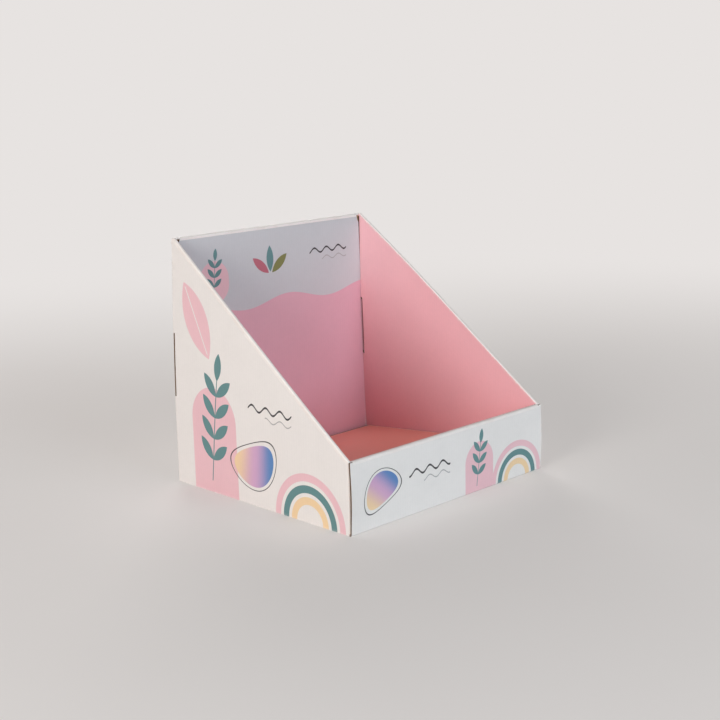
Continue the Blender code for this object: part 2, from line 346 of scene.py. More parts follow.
def board(line, rows, place, body, flutes, cut, gone=None):
    """A closed sheet of board. line is its printed face in section, and rows are the places across that
    section; flutes says which of the two the flutes follow. Rims that cut() names show the open flutes
    between the liners, and cells that gone() names are left out."""
    shape = bmesh.new()
    outward = across_line(line)
    cells = []
    for i in range(len(line) - 1):
        for j in range(len(rows) - 1):
            middle = (line[i] + line[i + 1]) / 2, (rows[j] + rows[j + 1]) / 2
            if gone is None or not gone(*middle):
                cells.append((i, j))
    faces = {}
    rims = {}
    for i, j in cells:
        loop = [(i, j), (i + 1, j), (i + 1, j + 1), (i, j + 1)]
        for key in loop:
            if key not in faces:
                at, row = line[key[0]], rows[key[1]]
                back = place(at - outward[key[0]] * BOARD, row)
                faces[key] = shape.verts.new(place(at, row)), shape.verts.new(back)
        shape.faces.new([faces[k][0] for k in loop])
        shape.faces.new([faces[k][1] for k in loop[::-1]]).material_index = 1
        middle = sum((faces[k][0].co for k in loop), Vector()) / 4
        for a, b in zip(loop, loop[1:] + loop[:1]):
            if (b, a) in rims:
                del rims[b, a]
            else:
                rims[a, b] = middle
    lips = {}
    inward = {}
    kinds = {}
    for (a, b), middle in rims.items():
        kinds[a, b] = bool(cut((line[a[0]] + line[b[0]]) / 2, (rows[a[1]] + rows[b[1]]) / 2))
        along = (faces[b][0].co - faces[a][0].co).normalized()
        into = middle - (faces[a][0].co + faces[b][0].co) / 2
        into = (into - along * into.dot(along)).normalized() * CUT_DEPTH
        for key in (a, b):
            if key not in lips:
                front, back = (v.co for v in faces[key])
                lips[key] = [shape.verts.new(front.lerp(back, s)) for s in (LINER_SHARE, 1 - LINER_SHARE)]
                inward[key] = [Vector(), []]
            if kinds[a, b] and inward[key][0].dot(into) < SAME_WAY * CUT_DEPTH ** 2:
                inward[key][0] += into
            inward[key][1].append(kinds[a, b])
    deep = {}
    for key, (into, found) in inward.items():
        if any(found):
            deep[key] = [shape.verts.new(v.co + into) for v in lips[key]]
        if any(found) and not all(found):
            shape.faces.new(lips[key] + deep[key][::-1]).material_index = 2
    for (a, b), is_cut in kinds.items():
        quads = [(faces[a][0], faces[b][0], lips[b][0], lips[a][0])]
        quads.append((lips[a][1], lips[b][1], faces[b][1], faces[a][1]))
        if is_cut:
            for p, q in ((lips, 0), (deep, 0)), ((deep, 0), (deep, 1)), ((deep, 1), (lips, 1)):
                quads.append((p[0][a][p[1]], p[0][b][p[1]], q[0][b][q[1]], q[0][a][q[1]]))
            lengthwise = (a[0] == b[0]) == (flutes == "rows")
            ends = [(lips[key][0].co + lips[key][1].co) / 2 for key in (a, b)]
            across = (faces[a][1].co - faces[a][0].co).normalized()
            cut_runs.setdefault(body, []).append((ends, across, inward[a][0].normalized(), lengthwise))
        else:
            quads.append((lips[a][0], lips[b][0], lips[b][1], lips[a][1]))
        for quad in quads:
            shape.faces.new(quad).material_index = 2
    return shape


def straight(p, x):
    """Places a point of a section that runs from front to back, at x."""
    return Vector((x, p.x, p.y))


line = bent_line([(FRONT_FACE + CREASE_REACH, 0.0), (BACK_FACE - CREASE_REACH, 0.0)], radius=0.0, step=0.012)
rows = spread(-BASE_HALF_WIDTH, BASE_HALF_WIDTH, step=0.012)
shape = board(line, rows, straight, "shell", "line", cut=lambda p, x: abs(x) > BASE_HALF_WIDTH - TOUCH)
piece("base", shape, [plain_outside, kraft_back, cut_edge], "shell", ["base_panel"])

# Back panel: the tall outer back, white outside and bare inside. It turns up from the base on
# a rolled crease, and the sides are creased round its upright edges.
CREASE_RADIUS = 0.0019
WRAP = 0.0030
BACK_TOP = TALL - BOARD
DRAWN_LEFT = 0.0062
LEAN_FROM = 0.085
LEAN_CURVE = 1.4
DRAWN_RIGHT = 0.0057
BEND_FROM = 0.003
BEND_TO = 0.153
BEND_CURVE = 0.65
BACK_SWELL = 0.0008
back_edge = HALF_WIDTH - WRAP


def within(share):
    """A share held between 0 and 1."""
    return min(1.0, max(0.0, share))


def drawn_in(x, y, z):
    """Where a wall really stands, as the lining pulls the rear corners together. The left wall leans in
    towards its top, and the right one bends in towards the back."""
    if x < 0:
        inward = DRAWN_LEFT * max(0.0, (z - LEAN_FROM) / (TALL - LEAN_FROM)) ** LEAN_CURVE
    else:
        height = within((z - BEND_FROM) / (BEND_TO - BEND_FROM))
        inward = DRAWN_RIGHT * height ** BEND_CURVE * max(0.0, y / BACK_FACE) ** 2
    return x * (1 - inward / HALF_WIDTH)


def back_place(p, x):
    """Places a point of the back, which swells a little in its middle."""
    height = within(p.y / TALL)
    swell = BACK_SWELL * math.sin(math.pi * height) * math.cos(math.pi * x / (2 * HALF_WIDTH))
    return Vector((drawn_in(x, p.x, p.y), p.x + swell, p.y))


line = bent_line([(BACK_FACE - CREASE_REACH, 0.0), (BACK_FACE, 0.0), (BACK_FACE, BACK_TOP)],
                 CREASE_RADIUS, step=0.010)
rows = spread(-back_edge, back_edge, step=0.012)
shape = board(line, rows, back_place, "shell", "line", cut=lambda p, x: False)
piece("back", shape, [plain_outside, kraft_back, cut_edge], "shell", ["back_panel"])

# Side panels: the printed outer sides, low in front and tall behind. Each is creased round the
# rear corner on to the back, and turns in at the front to the flap behind the front panel.
ear_low, ear_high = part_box("left_lock_ear")
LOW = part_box("front_top_fold")[1].z
SLOPE_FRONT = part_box("left_side_panel")[0].y
SLOPE_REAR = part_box("left_slope_fold")[1].y
SLOPE_RISE = (TALL - LOW) / (SLOPE_REAR - SLOPE_FRONT)
SLOPE_LEVEL = 1 / math.hypot(1, SLOPE_RISE)
SLOT_CLEARANCE = 0.0020
SLOT_LOW = ear_low.z - SLOT_CLEARANCE
SLOT_HIGH = ear_high.z + SLOT_CLEARANCE
SLOT_FRONT = SLOPE_REAR
SLOT_REAR = BACK_FACE - CREASE_RADIUS
flap_low, flap_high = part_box("left_front_flap")
FLAP_FACE = flap_low.y
FOLD_SKIN = 0.0018
SIDE_SWELL = 0.0007
SIDE_FOOT = 0.0015
HANDS = ((1, "left"), (-1, "right"))
INK_EDGE = 0.00022
# Proportions of the printed motifs.
LEAF_SPLAY = math.radians(45)
LEAF_START = 0.45
LEAF_REACH = 0.36
TIP_REACH = 0.3
STEM_SHARE = 0.06
PEBBLE_BEND = 0.35
PEBBLE_SHIFT = 0.15
PEARL_SLANT = 0.16
PEARL_LILAC = (0.0, 0.5)
PEARL_BLUE = (0.45, 0.95)
ARC_COUNT = 3
ARC_SPACING = 1.5
pink_ink = srgb(240, 196, 203)
teal_ink = srgb(98, 140, 142)
dark_ink = srgb(52, 48, 52)
grey_ink = srgb(176, 172, 172)
peach_ink = srgb(246, 214, 170)
lilac_ink = srgb(214, 170, 204)
blue_ink = srgb(92, 136, 192)


def solid(distance):
    """1 inside a printed shape and 0 outside it, with an edge as sharp as the press leaves."""
    return (0.5 - distance / INK_EDGE).most(0.0).least(1.0)


def turned(u, v, at, angle):
    """Lengths along and across a motif that stands at a point, turned by the angle."""
    u, v = u - at[0], v - at[1]
    c, s = math.cos(angle), math.sin(angle)
    return u * c + v * s, v * c - u * s


def arch(u, v, middle, foot, crown, half_width):
    """Distance to an upright arch with a round crown and foot."""
    across = u - middle
    above = v - v.most(foot).least(crown)
    return (across * across + above * above).root() - half_width


def leaf(along, across, length, width):
    """Distance to a pointed leaf that is centred where its own lengths start."""
    reach = (length * length - width * width) / (4 * width)
    across = abs(across) + reach
    return (along * along + across * across).root() - (reach + width / 2)


def sprig(u, v, foot, angle, pairs, gap, length, width):
    """Distance to a stem with pairs of leaves and one at its tip."""
    along, across = turned(u, v, foot, angle)
    across = abs(across)
    step = (along / gap - LEAF_START).maths("ROUND").most(1.0).least(float(pairs))
    out = length * LEAF_REACH
    pair = leaf(*turned(along - step * gap, across, (out, out), LEAF_SPLAY), length, width)
    tip = leaf(along - ((pairs + 1) * gap + length * TIP_REACH), across, length, width)
    half = (pairs + 1) * gap / 2
    stem = (abs(along - half) - half).most(across - width * STEM_SHARE)
    return pair.least(tip).least(stem)


def wave(u, v, start, end, level, swing, length, weight):
    """Distance to a wavy rule with round ends."""
    aside = v - ((u * (2 * math.pi / length)).sine() * swing + level)
    past = (abs(u - (start + end) / 2) - (end - start) / 2).most(0.0)
    return (aside * aside + past * past).root() - weight / 2


def pebble(u, v, at, angle, long, wide):
    """Distance to a bean-shaped pebble, and how far along it a place lies, from 0 to 1."""
    along, across = turned(u, v, at, angle)
    a, b = along / (long / 2), across / (wide / 2)
    b = b + a * a * PEBBLE_BEND - PEBBLE_SHIFT
    return ((a * a + b * b).root() - 1.0) * (wide / 2), along / long + 0.5 + b * PEARL_SLANT


def arcs(u, v, at, radius, band):
    """Distances to three arcs, one inside the other."""
    du, dv = u - at[0], v - at[1]
    out = (du * du + dv * dv).root()
    return [abs(out - (radius - k * band * ARC_SPACING)) - band / 2 for k in range(ARC_COUNT)]


def pearl(share):
    """Peach that turns to lilac and then to blue."""
    return share.rise(*PEARL_BLUE).tint(share.rise(*PEARL_LILAC).tint(peach_ink, lilac_ink), blue_ink)


def side_ink(x, y, z):
    """Print of a side: an arch with a sprig, a leaf, a pebble, arcs and wavy rules on white."""
    window = arch(y, z, middle=0.064, foot=-0.05, crown=0.074, half_width=0.034)
    colour = solid(window).tint(white_paper, pink_ink)
    along, across = turned(y, z, at=(0.088, 0.172), angle=math.radians(62))
    blade = leaf(along, across, length=0.082, width=0.034)
    rib_half, rib_short = 0.0006, 0.003
    colour = solid(blade).tint(colour, pink_ink)
    colour = solid((abs(across) - rib_half).most(blade + rib_short)).tint(colour, white_paper)
    plant = sprig(y, z, foot=(0.070, 0.012), angle=math.radians(97), pairs=4, gap=0.022,
                  length=0.0280, width=0.0105)
    colour = solid(plant).tint(colour, teal_ink)
    bands = arcs(y, z, at=(-0.072, 0.0), radius=0.044, band=0.0075)
    for band, ink in zip(bands, (pink_ink, teal_ink, peach_ink)):
        colour = solid(band).tint(colour, ink)
    stone, share = pebble(y, z, at=(0.004, 0.042), angle=math.radians(160), long=0.060, wide=0.040)
    outline, half_weight = 0.0034, 0.0004
    colour = solid(stone).tint(colour, pearl(share))
    colour = solid(abs(stone - outline) - half_weight).tint(colour, dark_ink)
    rule = wave(y, z, start=-0.050, end=0.010, level=0.098, swing=0.0030, length=0.020, weight=0.0020)
    colour = solid(rule).tint(colour, dark_ink)
    rule = wave(y, z, start=-0.050, end=-0.014, level=0.089, swing=0.0022, length=0.020, weight=0.0011)
    return solid(rule).tint(colour, grey_ink)


def side_edge(x, y, z):
    """How far the slope and the two upright corners of a side are."""
    below = (y * SLOPE_RISE + (LOW - SLOPE_FRONT * SLOPE_RISE) - z) * SLOPE_LEVEL
    return below.least(y - SLOPE_FRONT).least(BACK_FACE - y).least(z + SIDE_FOOT)


def slope_height(y):
    """Height of a side's top edge."""
    return LOW + (TALL - LOW) * within((y - SLOPE_FRONT) / (SLOPE_REAR - SLOPE_FRONT))


def wall_place(hand, foot, front, rear):
    """Places a point of a left wall's plan, at a share of the wall's height, on the left or the right."""
    def place(p, share):
        z = foot + (slope_height(p.y) - FOLD_SKIN - foot) * share
        run = within((p.y - front) / (rear - front))
        swell = SIDE_SWELL * math.sin(math.pi * share) * math.sin(math.pi * run)
        return Vector((drawn_in(hand * (p.x - swell), p.y, z), p.y, z))
    return place


printed_side = coated_paper("printed side liner", side_ink, side_edge, 1)
line = bent_line(
    [(-HALF_WIDTH + WRAP, BACK_FACE), (-HALF_WIDTH, BACK_FACE), (-HALF_WIDTH, SLOT_FRONT),
     (-HALF_WIDTH, FLAP_FACE), (-HALF_WIDTH + WRAP, FLAP_FACE)], CREASE_RADIUS, step=0.009)
rear_tall = TALL - FOLD_SKIN


def slit_rim(y, z):
    """True on the rims of a lock ear's slit, but not on the rear one, which is the crease itself."""
    return SLOT_FRONT - TOUCH < y < SLOT_REAR - TOUCH and SLOT_LOW - TOUCH < z < SLOT_HIGH + TOUCH


rows = spread(0.0, 1.0, step=0.05, marks=(SLOT_LOW / rear_tall, SLOT_HIGH / rear_tall))
for hand, name in HANDS:
    shape = board(
        line, rows, wall_place(hand, 0.0, FLAP_FACE, BACK_FACE), "shell", "rows",
        cut=lambda p, s: s < TOUCH or slit_rim(p.y, s * rear_tall),
        gone=lambda p, s: SLOT_FRONT < p.y < SLOT_REAR and SLOT_LOW < s * rear_tall < SLOT_HIGH)
    piece(name + "_side", shape, [printed_side, kraft_back, cut_edge], "shell",
          [name + "_side_panel"])

# Front flaps: the ends of the sides, turned in behind the front panel, bare side inwards.
# They are tucked in before the front's lining comes down, and only their edges show.
FLAP_PLAY = 0.0008
FLAP_GAP = 0.0001
FLAP_TOP = flap_high.z - FLAP_PLAY
flap_crease = -HALF_WIDTH + WRAP + FLAP_GAP
line = bent_line([(flap_crease, FLAP_FACE), (flap_high.x, FLAP_FACE)], radius=0.0, step=0.01)
for hand, name in HANDS:
    shape = board(line, spread(flap_low.z, FLAP_TOP, step=0.02), lambda p, z: Vector((hand * p.x, p.y, z)),
                  "shell", "rows", cut=lambda p, z: p.x > flap_crease + TOUCH)
    piece(name + "_flap", shape, [plain_outside, kraft_back, cut_edge], "shell",
          [name + "_front_flap"])

# Inner side panels: the plies that roll over the slopes and line the sides, printed pink.
# Each is cut away at the rear corner, where the lock ear of the back lining passes out.
inner_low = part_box("right_inner_panel")[0]
LINER_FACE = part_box("back_liner")[0].y
INNER_PLAY = 0.0001
INNER_LAP = 0.0002
INNER_FACE = inner_low.x
INNER_FRONT = inner_low.y + INNER_PLAY
INNER_REAR = LINER_FACE + INNER_LAP
INNER_LOW = inner_low.z + INNER_PLAY
INNER_SLOT_FRONT = LINER_FACE - SLOT_CLEARANCE
wall_pink = srgb(247, 192, 199)

pink_wall = coated_paper("pink wall liner", plain_ink(wall_pink), side_edge, 1)
line = bent_line([(-INNER_FACE, INNER_FRONT), (-INNER_FACE, INNER_SLOT_FRONT), (-INNER_FACE, INNER_REAR)],
                 radius=0.0, step=0.009)
inner_tall = TALL - FOLD_SKIN - INNER_LOW
slot_shares = ((SLOT_LOW - INNER_LOW) / inner_tall, (SLOT_HIGH - INNER_LOW) / inner_tall)
rows = spread(0.0, 1.0, step=0.05, marks=slot_shares)
for hand, name in HANDS:
    shape = board(
        line, rows, wall_place(hand, INNER_LOW, INNER_FRONT, INNER_REAR), "shell", "rows",
        cut=lambda p, s: s < TOUCH or p.y > INNER_SLOT_FRONT - TOUCH,
        gone=lambda p, s: p.y > INNER_SLOT_FRONT and SLOT_LOW < INNER_LOW + s * inner_tall < SLOT_HIGH)
    piece(name + "_inner_wall", shape, [pink_wall, kraft_back, cut_edge], "shell",
          [name + "_inner_panel"])

# Slope folds: the narrow strips between two creases, where each side rolls over on to its lining.
# The coating has stretched there, so the strip is creamy, matt and finely cracked.
FOLD_WIDE = HALF_WIDTH - INNER_FACE
FOLD_SKIRT = 0.0030
FOLD_OUTSIDE = 0.0044
FOLD_PROUD = 0.00004
FOLD_PRINT = 0.08
SLOPE_ROLL = 0.0017
SLOPE_GAP = 0.0002
SLOPE_SHY = 0.0004
SLOPE_END = BACK_FACE - SLOPE_SHY
END_ANGLES = range(0, 91, 15)
RIPPLE = 0.00010
RIPPLE_FINE = 210.0
RIPPLE_LONG = 67.0
CRACK_RANGE = (0.60, 0.72)
CRACK_SHARE = 0.40
RUB_RANGE = (0.35, 0.75)
RUB_SHARE = 0.22
FAR_FROM_EDGE = 0.02
cream_paper = srgb(248, 241, 237)
cracked_cream = srgb(226, 206, 197)


def fold_ink(x, y, z):
    """Stretched coating: creamy, with fine cracks along the fold and rubbed places."""
    place = x.node("ShaderNodeCombineXYZ", {}, {0: x, 1: y, 2: z})
    crack = place.noise(scale=820.0, detail=3.0).rise(*CRACK_RANGE)
    rub = place.noise(scale=55.0, detail=3.0).rise(*RUB_RANGE)
    return (crack * CRACK_SHARE + rub * RUB_SHARE).tint(cream_paper, cracked_cream)


def no_edge(x, y, z):
    """For a liner that shows no wear of its own along its edges."""
    return x * 0.0 + FAR_FROM_EDGE


cream_fold = coated_paper("creased liner", fold_ink, no_edge, 1)


def rolled_fold(section, stations, place, printed=lambda p: False):
    """A closed strip: the section of a fold carried along its stations. Where printed() says so, it takes
    the second finish."""
    shape = bmesh.new()
    rings = [[shape.verts.new(place(p, s)) for p in section] for s in stations]
    for a, b in zip(rings, rings[1:]):
        for k in range(len(section)):
            face = shape.faces.new((a[k - 1], a[k], b[k], b[k - 1]))
            face.material_index = int(printed((section[k - 1] + section[k]) / 2))
    shape.faces.new(rings[0])
    shape.faces.new(rings[-1])
    return shape


section = bent_line(
    [(-FOLD_PROUD, -FOLD_OUTSIDE), (-FOLD_PROUD, 0.0), (FOLD_WIDE + FOLD_PROUD, 0.0),
     (FOLD_WIDE + FOLD_PROUD, -FOLD_SKIRT)], SLOPE_ROLL, step=0.003)
stations = spread(SLOPE_FRONT + SLOPE_GAP, SLOPE_REAR, step=0.006)
stations += [SLOPE_END - SLOPE_ROLL * (1 - math.sin(math.radians(a))) for a in END_ANGLES]
for hand, name in HANDS:
    def slope_place(p, y):
        ripple = RIPPLE * math.sin(y * RIPPLE_FINE + hand) * math.sin(y * RIPPLE_LONG)
        past = max(0.0, 1 + (y - SLOPE_END) / SLOPE_ROLL)
        z = slope_height(y) + p.y + ripple - SLOPE_ROLL * (1 - math.sqrt(max(0.0, 1 - past * past)))
        return Vector((drawn_in(hand * (p.x - HALF_WIDTH), y, z), y, z))

    shape = rolled_fold(section, stations, slope_place,
                        lambda p: p.x > FOLD_WIDE - SLOPE_ROLL * FOLD_PRINT and p.y < 0.0)
    piece(name + "_slope", shape, [cream_fold, pink_wall], "shell", [name + "_slope_fold"])

# Front panel: the low printed front. It turns up from the base on a rolled crease, and its ends
# are cut, so the brown flutes show at both corners, where it stands a little off the flaps.
SIDE_FIT = 0.0003
FRONT_TOP = LOW - FOLD_SKIN
FRONT_END = INNER_FACE - SIDE_FIT
FRONT_SHY = 0.0003
FRONT_FOOT = 0.001
END_BOW = 0.0012
BOW_START = 0.085
BOW_CURVE = 1.5


def front_ink(x, y, z):
    """Print of the front: a pebble, wavy rules, an arch with a sprig, and arcs on white."""
    stone, share = pebble(x, z, at=(-0.098, 0.035), angle=math.radians(24), long=0.044, wide=0.030)
    outline, half_weight = 0.0026, 0.00035
    colour = solid(stone).tint(white_paper, pearl(share))
    colour = solid(abs(stone - outline) - half_weight).tint(colour, dark_ink)
    rule = wave(x, z, start=-0.060, end=-0.004, level=0.041, swing=0.0028, length=0.0186, weight=0.0020)
    colour = solid(rule).tint(colour, dark_ink)
    rule = wave(x, z, start=-0.040, end=-0.004, level=0.032, swing=0.0022, length=0.0186, weight=0.0011)
    colour = solid(rule).tint(colour, grey_ink)
    window = arch(x, z, middle=0.040, foot=-0.05, crown=0.030, half_width=0.021)
    colour = solid(window).tint(colour, pink_ink)
    plant = sprig(x, z, foot=(0.036, 0.006), angle=math.radians(82), pairs=3, gap=0.0115,
                  length=0.0148, width=0.0058)
    colour = solid(plant).tint(colour, teal_ink)
    bands = arcs(x, z, at=(0.098, 0.0), radius=0.036, band=0.0062)
    for band, ink in zip(bands, (pink_ink, teal_ink, peach_ink)):
        colour = solid(band).tint(colour, ink)
    return colour


def front_edge(x, y, z):
    """How far the front's top, ends and foot are."""
    return (LOW - z).least(HALF_WIDTH - abs(x)).least(z + FRONT_FOOT)


def front_place(p, x):
    """Places a point of the front, whose ends bow off the corners."""
    share = within(p.y / LOW)
    end = max(0.0, (abs(x) - BOW_START) / (HALF_WIDTH - BOW_START)) ** 2
    return Vector((x, p.x - END_BOW * end * math.sin(math.pi * share) ** BOW_CURVE, p.y))


printed_front = coated_paper("printed front liner", front_ink, front_edge, 0)
line = bent_line([(FRONT_FACE, LOW - FRONT_SHY), (FRONT_FACE, FRONT_TOP), (FRONT_FACE, 0.0),
                  (FRONT_FACE + CREASE_REACH, 0.0)], CREASE_RADIUS, step=0.004)
rows = spread(-HALF_WIDTH, HALF_WIDTH, step=0.008, marks=(-FRONT_END, FRONT_END))
shape = board(line, rows, front_place, "shell", "line",
              cut=lambda p, x: abs(x) > HALF_WIDTH - TOUCH,
              gone=lambda p, x: abs(x) < FRONT_END and p.y > FRONT_TOP)
piece("front", shape, [printed_front, kraft_back, cut_edge], "shell", ["front_panel"])

# Front top fold: the front's rolled top edge, as wide as the three plies under it.
# It is one strip of the sheet between two creases, with cracked, creamy coating.
LINING_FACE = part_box("front_inner_panel")[1].y
FRONT_ROLL = 0.0021
FOLD_LEVEL_END = 0.0041
FOLD_DIP_END = 0.0033
FOLD_DIP = 0.00015
FOLD_FIT = 0.0001
FRONT_RIPPLE = 0.00008
FRONT_RIPPLE_FINE = 170.0
section = bent_line(
    [(FRONT_FACE - FOLD_PROUD, LOW - FOLD_SKIRT), (FRONT_FACE - FOLD_PROUD, LOW),
     (LINING_FACE - FOLD_LEVEL_END, LOW)], FRONT_ROLL, step=0.003)
section.append(Vector((LINING_FACE - FOLD_DIP_END, LOW - FOLD_DIP)))
section.append(Vector((LINING_FACE - FRONT_ROLL, LOW - FOLD_SKIRT)))
shape = rolled_fold(section, spread(-FRONT_END + FOLD_FIT, FRONT_END - FOLD_FIT, step=0.01),
                    lambda p, x: Vector((x, p.x, p.y + FRONT_RIPPLE * math.sin(x * FRONT_RIPPLE_FINE))))
piece("front_fold", shape, [cream_fold], "shell", ["front_top_fold"])

# Front lining and floor: one pink strip. It comes over the front's top edge, hangs down inside the
# front, turns on a crease and slopes down to the back as the floor, held by nothing but its fit.
floor_low, floor_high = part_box("floor_panel")
FLOOR_TOP = floor_low.z + BOARD
FLOOR_REAR = floor_high.y
LINING_HALF_WIDTH = INNER_FACE - SIDE_FIT
FLOOR_TURN = 0.0015
# Floor ink: the board's pink print, made deeper and redder than the wall pink as painted shade from the pink
# light that bounces about the floor.
floor_pink_with_painted_shade = srgb(254, 177, 160)
rear_end = Vector((FLOOR_REAR, FLOOR_TOP))
front_end = Vector((LINING_FACE, floor_high.z))
down_floor = (rear_end - front_end).normalized()


def floor_edge(x, y, z):
    """How far the strip's cut sides and the creases at its ends are."""
    crease = (y - LINING_FACE).most(z - front_end.y)
    return (LINING_HALF_WIDTH - abs(x)).least(FLOOR_REAR - y).least(crease)


# This finish carries that floor ink, print with painted shade, on the front lining, the floor and the floor
# crease.
pink_floor_with_painted_shade = coated_paper("pink floor liner", plain_ink(floor_pink_with_painted_shade), floor_edge, 0)
rows = spread(-LINING_HALF_WIDTH, LINING_HALF_WIDTH, step=0.012)
line = bent_line([(LINING_FACE, front_end.y + FLOOR_TURN), (LINING_FACE, LOW - FOLD_SKIN)],
                 radius=0.0, step=0.006)
shape = board(line, rows, straight, "front_lining", "line",
              cut=lambda p, x: abs(x) > LINING_HALF_WIDTH - TOUCH)
piece("front_lining", shape, [pink_floor_with_painted_shade, kraft_back, cut_edge], "front_lining",
      ["front_inner_panel"])
line = bent_line([rear_end, front_end + down_floor * FLOOR_TURN], radius=0.0, step=0.01)
shape = board(line, rows, straight, "floor", "line",
              cut=lambda p, x: abs(x) > LINING_HALF_WIDTH - TOUCH or p.x > FLOOR_REAR - TOUCH)
piece("floor", shape, [pink_floor_with_painted_shade, kraft_back, cut_edge], "floor", ["floor_panel"])

# Back top fold: the strip between two creases along the top of the back, where the sheet rolls
# forward. Bent paper covers it at both creases.
TOP_HALF_WIDTH = INNER_FACE - SIDE_FIT
TOP_INSET = 0.0012
TOP_SHY = 0.0004
TOP_ROLL = 0.0003
top_high = TALL - TOP_SHY
top_low = TALL - FOLD_SKIN


def between_walls(p, x):
    """Places a point of a section at x, drawn in with the walls."""
    return Vector((drawn_in(x, p.x, p.y), p.x, p.y))


section = bent_line(
    [(LINER_FACE + TOP_INSET, top_low), (LINER_FACE + TOP_INSET, top_high),
     (BACK_FACE - TOP_INSET, top_high), (BACK_FACE - TOP_INSET, top_low)], TOP_ROLL, step=0.002)
shape = rolled_fold(section, spread(-TOP_HALF_WIDTH, TOP_HALF_WIDTH, step=0.01), between_walls)
piece("back_fold_strip", shape, [cream_fold], "top_fold", ["back_top_fold"])

# Back lining: the header and pink lining that hang in front of the back. It is printed white above a
# wavy line and pink below, tapers at its top corners, and ends in a cut edge behind the floor.
LINER_FIT = 0.0002
LINER_HALF_WIDTH = INNER_FACE - LINER_FIT
LINER_TUCK = 0.0010
LINER_LOW = FLOOR_TOP - LINER_TUCK
LINER_FOOT = 0.001
LINER_TAPER = 0.0017
TAPER_LENGTH = 0.055
CORNER_CUT = 0.0030
CORNER_LENGTH = 0.009
CORNER_CURVE = 0.5
CORNER_FINE = 0.0114
CRUSHED = 0.004
LINER_SWELL = 0.0008
HEADER_LEVEL = 0.170
HEADER_SWING = 0.0052
HEADER_WAVE = 0.118
HEADER_SHIFT = 0.6
FAN_FOOT = (-0.006, 0.198)
FAN_REACH = 0.017
lining_pink = srgb(233, 179, 192)
header_white = srgb(208, 208, 211)
rose_ink = srgb(190, 104, 120)
olive_ink = srgb(128, 128, 74)


def header_ink(x, y, z):
    """Print of the lining: white header with a sprig, three leaves and wavy rules over plain pink."""
    level = (x * (2 * math.pi / HEADER_WAVE) + HEADER_SHIFT).sine() * HEADER_SWING + HEADER_LEVEL
    colour = solid(level - z).tint(lining_pink, header_white)
    window = arch(x, z, middle=-0.082, foot=0.196, crown=0.202, half_width=0.019)
    colour = solid(window).tint(colour, pink_ink)
    plant = sprig(x, z, foot=(-0.084, 0.184), angle=math.radians(84), pairs=3, gap=0.0100,
                  length=0.0128, width=0.0050)
    colour = solid(plant).tint(colour, teal_ink)
    for angle, ink in ((140, rose_ink), (90, teal_ink), (40, olive_ink)):
        a = math.radians(angle)
        at = (FAN_FOOT[0] + FAN_REACH * math.cos(a), FAN_FOOT[1] + FAN_REACH * math.sin(a))
        blade = leaf(*turned(x, z, at, a), length=0.028, width=0.0095)
        colour = solid(blade).tint(colour, ink)
    rule = wave(x, z, start=0.052, end=0.106, level=0.216, swing=0.0026, length=0.018, weight=0.0019)
    colour = solid(rule).tint(colour, dark_ink)
    rule = wave(x, z, start=0.070, end=0.106, level=0.207, swing=0.0020, length=0.018, weight=0.0010)
    return solid(rule).tint(colour, grey_ink)


def header_edge(x, y, z):
    """How far the lining's top, sides and foot are."""
    return (TALL - z).least(LINER_HALF_WIDTH - abs(x)).least(z + LINER_FOOT)


def liner_place(p, share):
    """Places a point of the lining, at a share of its half width there."""
    drop = max(0.0, TALL - p.y)
    half = LINER_HALF_WIDTH - LINER_TAPER * max(0.0, 1 - drop / TAPER_LENGTH)
    half -= CORNER_CUT * max(0.0, 1 - drop / CORNER_LENGTH) ** CORNER_CURVE
    swell = LINER_SWELL * math.sin(math.pi * min(1.0, drop / TALL)) * math.cos(math.pi * share / 2)
    return Vector((drawn_in(half * share, p.x, p.y), p.x - swell, p.y))


def liner_cut(p, share):
    """True at the foot, and at the sides up to where the fold has crushed them."""
    return abs(share) > 1 - TOUCH and p.y < TALL - CRUSHED or p.y < LINER_LOW + TOUCH


header_liner = coated_paper("printed back lining", header_ink, header_edge, 0)
levels = spread(LINER_LOW, TALL - CORNER_FINE, step=0.006)
levels += spread(TALL - CORNER_FINE, TALL - FOLD_SKIN, step=0.0011)[1:]
line = [Vector((LINER_FACE, z)) for z in levels]
shape = board(line[::-1], spread(-1.0, 1.0, step=0.06), liner_place, "liner", "line", liner_cut)
piece("back_lining", shape, [header_liner, kraft_back, cut_edge], "liner", ["back_liner"])

# Lock ears: short tabs on the lining's side edges. They spring into the slots at the rear corners
# and hold the lining against the back, and their cut ends show outside.
EAR_PLAY = 0.0005
EAR_LOW = ear_low.z + EAR_PLAY
EAR_HIGH = ear_high.z - EAR_PLAY
EAR_SHY = 0.0004
EAR_GAP = 0.0001
ear_tip = -HALF_WIDTH + EAR_SHY
ear_root = -LINER_HALF_WIDTH - EAR_GAP
ear_pink = coated_paper("pink ear liner", plain_ink(lining_pink), no_edge, 2)
line = bent_line([(ear_tip, LINER_FACE), (ear_root, LINER_FACE)], radius=0.0, step=0.002)
for hand, name in HANDS:
    shape = board(line, spread(EAR_LOW, EAR_HIGH, step=0.01),
                  lambda p, z: Vector((drawn_in(hand * p.x, p.y, z), p.y, z)),
                  "liner", "rows", cut=lambda p, z: p.x < ear_tip + TOUCH)
    piece(name + "_ear", shape, [ear_pink, kraft_back, cut_edge], "liner",
          [name + "_lock_ear"])

# Crease strips: the bent printed paper at each crease that opens. It is the only part of the board
# that joins two panels there, and is made as one fixed piece.
STRIP = 0.00035
STRIP_REACH = 0.0032
STRIP_END = 0.0034
BACK_ROLL = 0.0017
FLOOR_ROLL = 0.0010
FLOOR_STRIP_REACH = 0.0026


